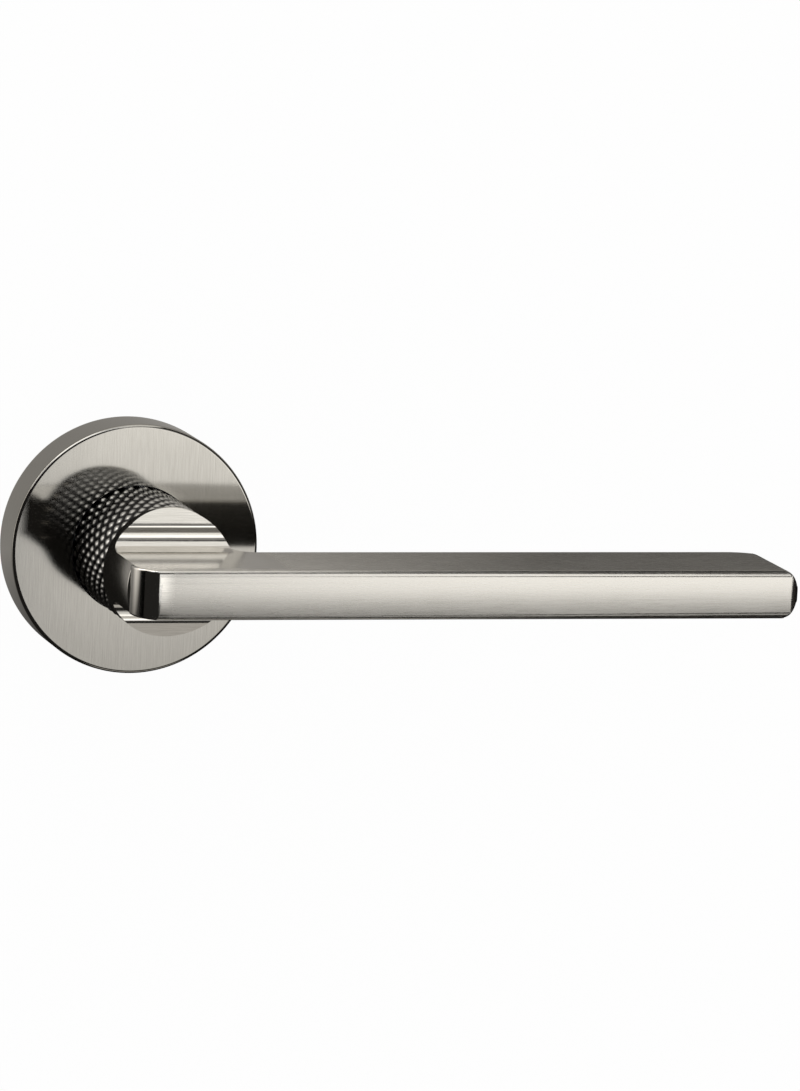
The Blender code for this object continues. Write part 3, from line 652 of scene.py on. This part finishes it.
# %% The group of nodes that draws brush lines
def make_brush_lines():
    group = bpy.data.node_groups.new("brush_lines", "ShaderNodeTree")
    face = group.interface
    face.new_socket("Vector", in_out="INPUT", socket_type="NodeSocketVector")
    face.new_socket("Stretch", in_out="INPUT", socket_type="NodeSocketVector")
    face.new_socket("Dark", in_out="INPUT", socket_type="NodeSocketColor")
    face.new_socket("Light", in_out="INPUT", socket_type="NodeSocketColor")
    for name, value in (("Roughness", 0.3), ("Roughness Spread", 0.1), ("Relief", 0.1), ("Clouds", 0.2)):
        socket = face.new_socket(name, in_out="INPUT", socket_type="NodeSocketFloat")
        socket.default_value = value
    face.new_socket("Colour", in_out="OUTPUT", socket_type="NodeSocketColor")
    face.new_socket("Roughness", in_out="OUTPUT", socket_type="NodeSocketFloat")
    face.new_socket("Normal", in_out="OUTPUT", socket_type="NodeSocketVector")
    tree, link = group.nodes, group.links.new
    start, end = tree.new("NodeGroupInput"), tree.new("NodeGroupOutput")
    stretch = tree.new("ShaderNodeVectorMath")
    stretch.operation = "MULTIPLY"
    link(start.outputs["Vector"], stretch.inputs[0])
    link(start.outputs["Stretch"], stretch.inputs[1])
    lines = tree.new("ShaderNodeTexNoise")
    lines.inputs["Scale"].default_value = 1.0
    lines.inputs["Detail"].default_value = 5.0
    lines.inputs["Roughness"].default_value = 0.65
    link(stretch.outputs[0], lines.inputs["Vector"])
    clouds = tree.new("ShaderNodeTexNoise")
    clouds.inputs["Scale"].default_value = 90.0
    clouds.inputs["Detail"].default_value = 3.0
    link(start.outputs["Vector"], clouds.inputs["Vector"])
    blend = tree.new("ShaderNodeMix")
    blend.data_type = "FLOAT"
    link(start.outputs["Clouds"], blend.inputs[0])
    link(lines.outputs[0], blend.inputs[2])
    link(clouds.outputs[0], blend.inputs[3])
    spread = tree.new("ShaderNodeMapRange")
    spread.inputs["From Min"].default_value = 0.3
    spread.inputs["From Max"].default_value = 0.7
    link(blend.outputs[0], spread.inputs["Value"])
    colour = tree.new("ShaderNodeMix")
    colour.data_type = "RGBA"
    link(spread.outputs[0], colour.inputs[0])
    link(start.outputs["Dark"], colour.inputs[6])
    link(start.outputs["Light"], colour.inputs[7])
    link(colour.outputs[2], end.inputs["Colour"])
    rough = tree.new("ShaderNodeMath")
    rough.operation = "MULTIPLY_ADD"
    link(spread.outputs[0], rough.inputs[0])
    link(start.outputs["Roughness Spread"], rough.inputs[1])
    link(start.outputs["Roughness"], rough.inputs[2])
    link(rough.outputs[0], end.inputs["Roughness"])
    bump = tree.new("ShaderNodeBump")
    bump.inputs["Distance"].default_value = 0.02 * MM
    link(start.outputs["Relief"], bump.inputs["Strength"])
    link(lines.outputs[0], bump.inputs["Height"])
    link(bump.outputs[0], end.inputs["Normal"])
    return group


brush_lines = make_brush_lines()
print("group:", brush_lines.name, len(brush_lines.nodes), "nodes")

# %% [markdown]
# One function makes every metal from the group: it sets the group's numbers and joins its outputs to the
# shader. A highlight smears across the brush lines, so the shader's tangent is a fixed direction of the
# piece.


# %% A brushed metal
def brushed_metal(name, dark, light, roughness, spread, relief, stretch, clouds=0.2, across=None, grain=0.0):
    """A metal with brush lines; across is the direction in which its highlight smears."""
    material = bpy.data.materials.new(name)
    material.use_nodes = True
    tree, link = material.node_tree.nodes, material.node_tree.links.new
    shader = tree["Principled BSDF"]
    shader.inputs["Metallic"].default_value = 1.0
    coords = tree.new("ShaderNodeTexCoord")
    lines = tree.new("ShaderNodeGroup")
    lines.node_tree = brush_lines
    lines.name = "brush lines"
    link(coords.outputs["Object"], lines.inputs["Vector"])
    lines.inputs["Stretch"].default_value = stretch
    lines.inputs["Dark"].default_value = (*dark, 1)
    lines.inputs["Light"].default_value = (*light, 1)
    lines.inputs["Roughness"].default_value = roughness
    lines.inputs["Roughness Spread"].default_value = spread
    lines.inputs["Relief"].default_value = relief
    lines.inputs["Clouds"].default_value = clouds
    link(lines.outputs["Colour"], shader.inputs["Base Color"])
    link(lines.outputs["Roughness"], shader.inputs["Roughness"])
    link(lines.outputs["Normal"], shader.inputs["Normal"])
    if across:
        shader.inputs["Anisotropic"].default_value = grain
        turn = tree.new("ShaderNodeVectorTransform")
        turn.vector_type = "VECTOR"
        turn.convert_from = "OBJECT"
        turn.convert_to = "WORLD"
        turn.inputs[0].default_value = across
        link(turn.outputs[0], shader.inputs["Tangent"])
    return material


def wear(thing, material):
    """Gives a piece its one material."""
    thing.data.materials.clear()
    thing.data.materials.append(material)


rose_nickel = brushed_metal(
    "rose_nickel",
    dark=(0.38, 0.367, 0.338), light=(0.50, 0.484, 0.45), roughness=0.08, spread=0.03, relief=0.06,
    stretch=(5200, 5200, 160), across=(1, 0, 0), grain=0.7,
)
wear(cover, rose_nickel)

# %% [markdown]
# The lever is brushed along the bar, but its head was polished after the scoops were cut, and so was the
# rounded heel. One material does both: ramps along X and along the depth make a mask, and the mask moves
# the roughness from polished to brushed.


# %% The lever's finish
POLISHED = 0.1
HEEL_ENDS = (-9.2 * MM, -5.0 * MM)  # the polish fades into brush lines between these, along X
HEAD_ENDS = (14 * MM, 20 * MM)
FACE_ENDS = (-(HEAD_FRONT + 6 * MM), -(HEAD_FRONT + 4 * MM))  # and between these, along Y


def math_node(tree, link, operation, *values):
    """A math node of the given values or sockets."""
    node = tree.new("ShaderNodeMath")
    node.operation = operation
    for socket, value in zip(node.inputs, values):
        if isinstance(value, float):
            socket.default_value = value
        else:
            link(value, socket)
    return node.outputs[0]


def ramp(tree, link, source, low, high):
    """0 below low and 1 above high, in metres."""
    node = tree.new("ShaderNodeMapRange")
    node.interpolation_type = "SMOOTHSTEP"
    node.inputs["From Min"].default_value = low
    node.inputs["From Max"].default_value = high
    link(source, node.inputs["Value"])
    return node.outputs[0]


lever_nickel = brushed_metal(
    "lever_nickel",
    dark=(0.57, 0.552, 0.515), light=(0.77, 0.75, 0.71), roughness=0.24, spread=0.08, relief=0.12,
    stretch=(160, 5200, 5200), across=(0, 0.7, 0.7), grain=0.6,
)
tree, link = lever_nickel.node_tree.nodes, lever_nickel.node_tree.links.new
shader, lines = tree["Principled BSDF"], tree["brush lines"]
split = tree.new("ShaderNodeSeparateXYZ")
link(tree["Texture Coordinate"].outputs["Object"], split.inputs[0])
past_heel = ramp(tree, link, split.outputs["X"], *HEEL_ENDS)
past_head = ramp(tree, link, split.outputs["X"], *HEAD_ENDS)
behind_face = ramp(tree, link, split.outputs["Y"], *FACE_ENDS)
on_face = math_node(tree, link, "SUBTRACT", 1.0, behind_face)
face_past_heel = math_node(tree, link, "MULTIPLY", on_face, past_heel)
brushed = math_node(tree, link, "MAXIMUM", face_past_heel, past_head)
choose = tree.new("ShaderNodeMix")
choose.data_type = "FLOAT"
choose.inputs[2].default_value = POLISHED
link(brushed, choose.inputs[0])
link(lines.outputs["Roughness"], choose.inputs[3])
link(choose.outputs[0], shader.inputs["Roughness"])
wear(lever, lever_nickel)
print("lever's finish:", len(tree), "nodes")

# %% [markdown]
# The knurl is the same metal with painted shade in its grooves: black down in them, fading to the metal's
# own colour on the tops. The distance from the axis tells a groove from a top, so the mask needs no picture:
# it is the length of the point's X and Z.

# %% The knurl's finish
# painted shade: the grooves are coloured black, and between these two radii it fades to the metal's own
# colour on the tops
PAINTED_GROOVE_SHADE = (0.02, 0.02, 0.02, 1)
GROOVE_SHADE_LOW, GROOVE_SHADE_HIGH = NECK_RADIUS - 0.5 * MM, NECK_RADIUS - 0.25 * MM

knurl_nickel = brushed_metal(
    "knurl_nickel",
    dark=(0.58, 0.575, 0.56), light=(0.70, 0.69, 0.67), roughness=0.12, spread=0.06, relief=0.06,
    stretch=(900, 900, 900), clouds=0.3,
)
tree, link = knurl_nickel.node_tree.nodes, knurl_nickel.node_tree.links.new
shader, lines = tree["Principled BSDF"], tree["brush lines"]
flatten = tree.new("ShaderNodeVectorMath")
flatten.operation = "MULTIPLY"
flatten.inputs[1].default_value = (1, 0, 1)
link(tree["Texture Coordinate"].outputs["Object"], flatten.inputs[0])
reach = tree.new("ShaderNodeVectorMath")
reach.operation = "LENGTH"
link(flatten.outputs[0], reach.inputs[0])
# the mask of the painted groove shade: 0 down in the grooves, 1 on the tops
unshaded_tops = ramp(tree, link, reach.outputs["Value"], GROOVE_SHADE_LOW, GROOVE_SHADE_HIGH)
groove_shading = tree.new("ShaderNodeMix")
groove_shading.data_type = "RGBA"
groove_shading.inputs[6].default_value = PAINTED_GROOVE_SHADE
link(unshaded_tops, groove_shading.inputs[0])
link(lines.outputs["Colour"], groove_shading.inputs[7])
link(groove_shading.outputs[2], shader.inputs["Base Color"])
wear(sleeve, knurl_nickel)
print("knurl's finish:", len(tree), "nodes")

# %% [markdown]
# The pieces inside keep their solids. Each takes a finish from what it is made of: zinc-plated pressings
# and bar, bright steel screws and pins, dark spring steel, and a nylon bush.

# %% Finishes of the inner pieces
zinc = brushed_metal(
    "zinc", dark=(0.42, 0.43, 0.44), light=(0.60, 0.61, 0.62), roughness=0.42, spread=0.14, relief=0.25,
    stretch=(700, 700, 700), clouds=0.6,
)
steel = brushed_metal(
    "steel", dark=(0.48, 0.49, 0.50), light=(0.62, 0.63, 0.64), roughness=0.28, spread=0.1, relief=0.2,
    stretch=(2500, 300, 2500), clouds=0.3,
)
spring_steel = brushed_metal(
    "spring_steel",
    dark=(0.16, 0.16, 0.17), light=(0.28, 0.28, 0.29), roughness=0.3, spread=0.12, relief=0.2,
    stretch=(1200, 1200, 1200), clouds=0.4,
)
nylon = brushed_metal(
    "nylon", dark=(0.74, 0.73, 0.69), light=(0.82, 0.81, 0.77), roughness=0.45, spread=0.1, relief=0.2,
    stretch=(900, 900, 900), clouds=0.5,
)
nylon_shader = nylon.node_tree.nodes["Principled BSDF"]
nylon_shader.inputs["Metallic"].default_value = 0.0
nylon_shader.inputs["Subsurface Weight"].default_value = 0.1
nylon_shader.inputs["Subsurface Radius"].default_value = (2 * MM, 2 * MM, 2 * MM)
INNER = {"zinc": zinc, "steel": steel, "spring_steel": spring_steel, "nylon": nylon}
for thing in threaded:
    wear(thing, steel)
slot_of = {subpart["node"]: subpart.get("material_slot") for subpart in frame["record"]["subparts"]}
for name, node in nodes.items():
    if node.hide_render:
        continue
    wear(node, INNER[slot_of.get(name) or "steel"])
    print(name, "->", node.data.materials[0].name)

# %% [markdown]
# ## The room
# Metal shows the room more than itself. To the eye the room is white: a door, a floor and the sky. Door and
# floor are white to a look and to a mirror, but matt to the light, so they still take the handle's soft
# shadow. A plain white material would turn grey in that light, so each mixes a glow with a matt colour by
# the kind of ray.


# %% Materials of the room
def looked_at(tree, link):
    """1 for what the eye sees, straight, in a mirror or through glass, and 0 for light on a matt surface."""
    path = tree.new("ShaderNodeLightPath")
    seen = math_node(tree, link, "MAXIMUM", path.outputs["Is Camera Ray"], path.outputs["Is Glossy Ray"])
    return math_node(tree, link, "MAXIMUM", seen, path.outputs["Is Transmission Ray"])


def room_material(name, shade, share):
    """White to the eye by a share, and a matt colour for the rest, open from behind."""
    material = bpy.data.materials.new(name)
    material.use_nodes = True
    tree, link = material.node_tree.nodes, material.node_tree.links.new
    tree.remove(tree["Principled BSDF"])
    matt = tree.new("ShaderNodeBsdfDiffuse")
    matt.inputs["Color"].default_value = (*shade, 1)
    white = tree.new("ShaderNodeEmission")
    mix = tree.new("ShaderNodeMixShader")
    link(math_node(tree, link, "MULTIPLY", looked_at(tree, link), share), mix.inputs[0])
    link(matt.outputs[0], mix.inputs[1])
    link(white.outputs[0], mix.inputs[2])
    link(through_back(tree, link, mix.outputs[0]), tree["Material Output"].inputs["Surface"])
    return material


def through_back(tree, link, surface):
    """Lets a surface be seen from its front only."""
    side = tree.new("ShaderNodeNewGeometry")
    clear = tree.new("ShaderNodeBsdfTransparent")
    mix = tree.new("ShaderNodeMixShader")
    link(side.outputs["Backfacing"], mix.inputs[0])
    link(surface, mix.inputs[1])
    link(clear.outputs[0], mix.inputs[2])
    return mix.outputs[0]


def card_material(name, colour, strength):
    """A plain card of one brightness, seen from its front only."""
    material = bpy.data.materials.new(name)
    material.use_nodes = True
    tree, link = material.node_tree.nodes, material.node_tree.links.new
    tree.remove(tree["Principled BSDF"])
    glow = tree.new("ShaderNodeEmission")
    glow.inputs["Color"].default_value = (*colour, 1)
    glow.inputs["Strength"].default_value = strength
    link(through_back(tree, link, glow.outputs[0]), tree["Material Output"].inputs["Surface"])
    return material


# %% Door and floor
def sheet(name, centre, facing, width, height, material, for_metal_only=False):
    """A flat sheet of the room, facing a direction."""
    bpy.ops.object.select_all(action="DESELECT")
    bpy.ops.mesh.primitive_plane_add(size=1)
    thing = bpy.context.object
    thing.name = name
    turn = Vector(facing).to_track_quat("Z", "Y").to_matrix().to_4x4()
    thing.data.transform(Matrix.Translation(centre) @ turn @ Matrix.Diagonal((width, height, 1, 1)))
    thing.data.materials.append(material)
    if for_metal_only:
        thing.visible_camera = False
        thing.visible_diffuse = False
        thing.visible_shadow = False
        thing.visible_transmission = False
    return thing


pale = room_material("pale_room", (0.93, 0.93, 0.92), 0.97)
sheet("door_face", (0, 0.0003, 0), (0, -1, 0), 0.6, 0.6, pale)
sheet("floor", (0, -1.0, -0.3), (0, 0, 1), 4, 2.0, pale)
print("white to the eye:", pale.name)

# %% [markdown]
# In a white room bright metal would be white all over. So cards stand round the handle that only metal
# sees, as a photographer sets them round a bottle. The dark ones give the bar its shaded top and the heel
# its black band, and darken the knurl's flanks; the knurl's grooves are black from painted shade. Two small
# ones close to the head, a grey one below and a bright one above, give the scoops their stripes. Each is a
# name, a centre, the way it faces, a width and a height, in metres.

# %% Dark cards, and the two near the head
WARM = (1, 0.96, 0.9)
NEARLY_WHITE = (1, 0.985, 0.95)
DARK_CARDS = [
    ("dark_card_left", (-0.69, -0.7, -0.2), (0, 1, 0), 1.62, 1.8),
    ("dark_card_above", (0.62, -0.3, 0.5), (0, 0, -1), 0.9, 1.0),
    ("dark_card_right", (1.1, -0.4, 0), (-1, 0, 0), 1.2, 1.4),
    ("dark_card_side", (-1.3, -0.35, 0), (1, 0, 0), 0.72, 1.4),
    ("dark_card_floor", (0, -0.6, -0.29), (0, 0, 1), 3.0, 1.2),
]
dark = card_material("dark_card", WARM, 0.02)
for name, centre, facing, width, height in DARK_CARDS:
    sheet(name, centre, facing, width, height, dark, for_metal_only=True)
grey = card_material("near_card", WARM, 0.5)
sheet("near_card", (0.06, -0.11, -0.2), (0, 0, 1), 0.14, 0.1, grey, for_metal_only=True)
bright = card_material("bright_card", NEARLY_WHITE, 1.1)
sheet("bright_card", (0.055, -0.12, 0.2), (0, 0, -1), 0.07, 0.24, bright, for_metal_only=True)
print("cards:", len(DARK_CARDS) + 2)

# %% [markdown]
# The bar's face mirrors a card in front on the right. Its level changes from place to place, so the face
# shades softly from one edge to the other and dims towards the tip. A colour ramp over a place in metres
# draws that.


# %% The front card
def levels(tree, link, source, stops):
    """A level that goes straight from stop to stop, each a place in metres and a level."""
    low, high = stops[0][0], stops[-1][0]
    peak = max(level for _, level in stops)
    along = tree.new("ShaderNodeMapRange")
    along.inputs["From Min"].default_value = low
    along.inputs["From Max"].default_value = high
    link(source, along.inputs["Value"])
    shades = tree.new("ShaderNodeValToRGB")
    elements = shades.color_ramp.elements
    for i, (where, level) in enumerate(stops):
        part = (where - low) / (high - low)
        stop = elements[0] if i == 0 else elements[-1] if i == len(stops) - 1 else elements.new(part)
        stop.position = part
        stop.color = (level / peak, level / peak, level / peak, 1)
    link(along.outputs[0], shades.inputs[0])
    return math_node(tree, link, "MULTIPLY", shades.outputs[0], peak)


def place_of(tree, link):
    """X, Y and Z of a point of the card."""
    coords, split = tree.new("ShaderNodeTexCoord"), tree.new("ShaderNodeSeparateXYZ")
    link(coords.outputs["Object"], split.inputs[0])
    return split.outputs


FRONT_RISE = (
    (-0.36, 0.05), (-0.24, 0.28), (-0.146, 0.98), (-0.1, 1.3), (-0.03, 1.9), (0.07, 1.8), (0.2, 0.3)
)
FRONT_FADE = ((0.14, 1.0), (0.42, 1.0), (0.8, 0.05))

front = card_material("front_card", (1, 0.985, 0.955), 1.0)
tree, link = front.node_tree.nodes, front.node_tree.links.new
x, y, z = place_of(tree, link)
across, upwards = levels(tree, link, x, FRONT_FADE), levels(tree, link, z, FRONT_RISE)
glow = math_node(tree, link, "MULTIPLY", across, upwards)
link(glow, tree["Emission"].inputs["Strength"])
sheet("front_card", (0.49, -0.69, 0.0), (0, 1, 0), 0.7, 1.0, front, for_metal_only=True)
print("front card:", len(tree), "nodes")

# %% [markdown]
# The bar's top and the head look towards the door and mirror it, so metal sees a door of its own: a bright
# strip on the left, grey behind the rose, dark below, and the bar's shadow on the right under its height.

# %% The door as metal sees it
DOOR_STRIP = (
    (-0.5, 0.02), (-0.18, 0.15), (-0.12, 1.4), (-0.075, 1.4), (-0.045, 0.33), (0.03, 0.33), (0.09, 0.12)
)
DOOR_RISE = ((-0.024, 0.03), (-0.002, 1.0), (0.035, 1.0), (0.07, 2.5))

door = card_material("door_card", (1, 0.96, 0.90), 1.0)
tree, link = door.node_tree.nodes, door.node_tree.links.new
x, y, z = place_of(tree, link)
across, upwards = levels(tree, link, x, DOOR_STRIP), levels(tree, link, z, DOOR_RISE)
lit = math_node(tree, link, "MULTIPLY", across, upwards)
beside = ramp(tree, link, x, 0.015, 0.03)
below = math_node(tree, link, "SUBTRACT", 1.0, ramp(tree, link, z, 0.004, 0.012))
shadow = math_node(tree, link, "MULTIPLY", beside, below)
clear = math_node(tree, link, "SUBTRACT", 1.0, shadow)
link(math_node(tree, link, "MULTIPLY", lit, clear), tree["Emission"].inputs["Strength"])
sheet("door_card", (0, -0.0002, 0), (0, -1, 0), 2.4, 1.4, door, for_metal_only=True)
print("door card:", len(tree), "nodes")

# %% [markdown]
# Two softboxes give the matt and the brushed surfaces their soft light. They stand where the bar's edge
# does not mirror them towards the eye, because there each would draw a hard bright line.


# %% Lamps
HANDLE = Vector((0.03, -0.045, 0.0))


def toward(azimuth, elevation):
    """A direction from the handle: azimuth from the front towards the lever's tip, in degrees."""
    a, e = math.radians(azimuth), math.radians(elevation)
    return Vector((math.sin(a) * math.cos(e), -math.cos(a) * math.cos(e), math.sin(e)))


def softbox(name, azimuth, elevation, distance, width, height, brightness):
    """An area lamp that faces the handle, by how bright it looks in a mirror."""
    bpy.ops.object.select_all(action="DESELECT")
    way = toward(azimuth, elevation)
    bpy.ops.object.light_add(type="AREA", location=HANDLE + distance * way)
    lamp = bpy.context.object
    lamp.name = name
    lamp.data.shape = "RECTANGLE"
    lamp.data.size, lamp.data.size_y = width, height
    lamp.data.energy = brightness * math.pi * width * height
    lamp.rotation_euler = way.to_track_quat("Z", "Y").to_euler()
    return lamp


softbox("front_right_softbox", 62, 42, 1.0, 0.6, 0.4, 1.5)
softbox("top_softbox", -75, 62, 0.9, 0.7, 0.5, 1.3)

# %% [markdown]
# The sky is white to the eye and a little dimmer as light, by the same mask that the door and the floor
# use, so the background stays clean and the handle still shows its form.

# %% Sky
world = bpy.data.worlds.new("sky")
bpy.context.scene.world = world
world.use_nodes = True
tree, link = world.node_tree.nodes, world.node_tree.links.new
sky = tree["Background"]
sky.inputs["Color"].default_value = (0.95, 0.95, 0.95, 1)
sky.inputs["Strength"].default_value = 0.7
white = tree.new("ShaderNodeBackground")
white.inputs["Color"].default_value = (1, 1, 1, 1)
mix = tree.new("ShaderNodeMixShader")
link(looked_at(tree, link), mix.inputs[0])
link(sky.outputs[0], mix.inputs[1])
link(white.outputs[0], mix.inputs[2])
link(mix.outputs[0], tree["World Output"].inputs["Surface"])
print("sky:", len(tree), "nodes")

# %% [markdown]
# ## The camera
# The handle is seen from in front, a little from the left and from above, through a long lens that keeps
# the bar's edges almost parallel, and the camera is tilted a little about its own axis.

# %% Camera
AZIMUTH, ELEVATION, ROLL = -16.699, 9.4315, 2.8106
LENS = 236.39
DISTANCE = 1.5
AIM = Vector((59.97, 0.0, -1.09)) * MM

back = toward(AZIMUTH, ELEVATION)
right = (-back).cross(Vector((0, 0, 1))).normalized()
up = right.cross(-back)
roll = math.radians(ROLL)
camera_x = math.cos(roll) * right + math.sin(roll) * up
camera_y = -math.sin(roll) * right + math.cos(roll) * up
bpy.ops.object.select_all(action="DESELECT")
bpy.ops.object.camera_add()
camera = bpy.context.object
camera.data.lens = LENS
camera.data.sensor_width = 36
camera.data.clip_start, camera.data.clip_end = 0.05, 20
columns = Matrix((camera_x, camera_y, back)).transposed().to_4x4()
camera.matrix_world = Matrix.Translation(AIM + DISTANCE * back) @ columns
bpy.context.scene.camera = camera
bpy.context.scene.view_settings.view_transform = "Standard"
print("camera:", [round(v, 3) for v in camera.location], "lens", LENS)
